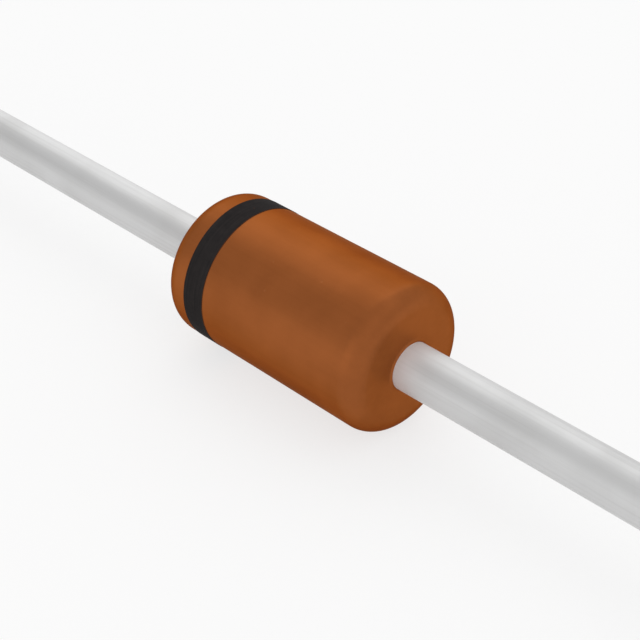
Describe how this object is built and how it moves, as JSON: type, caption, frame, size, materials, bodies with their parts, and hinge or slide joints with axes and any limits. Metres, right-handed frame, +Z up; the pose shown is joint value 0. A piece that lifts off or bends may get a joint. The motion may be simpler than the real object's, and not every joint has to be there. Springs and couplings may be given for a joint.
{
  "type": "zener diode",
  "caption": "Small axial-lead diode: a chip between metal studs in a fused brown glass sleeve with a dark cathode band and straight tinned wire leads. Clamps a circuit's voltage.",
  "frame": {"origin": "middle of the glass body, on the diode's axis", "axes": "+X along the axis towards the anode lead, so the banded cathode end is at -X; +Z up when the diode lies flat"},
  "size_m": [0.0552, 0.0026, 0.0026],
  "materials": {
    "glass": "satin opaque brown glass with fire-polished ends",
    "ink": "matte charcoal printed ink",
    "tinned_wire": "matte tin over drawn copper wire",
    "stud_metal": "copper-clad seal metal with a red oxide skin",
    "silicon": "sawn dark grey silicon",
    "silver": "matte plated silver"
  },
  "bodies": {
    "root": {"glass_sleeve": "glass", "cathode_band": "ink", "cathode_lead": "tinned_wire", "anode_lead": "tinned_wire", "cathode_stud": "stud_metal", "anode_stud": "stud_metal", "silicon_chip": "silicon", "silver_bump": "silver"}
  },
  "joints": []
}
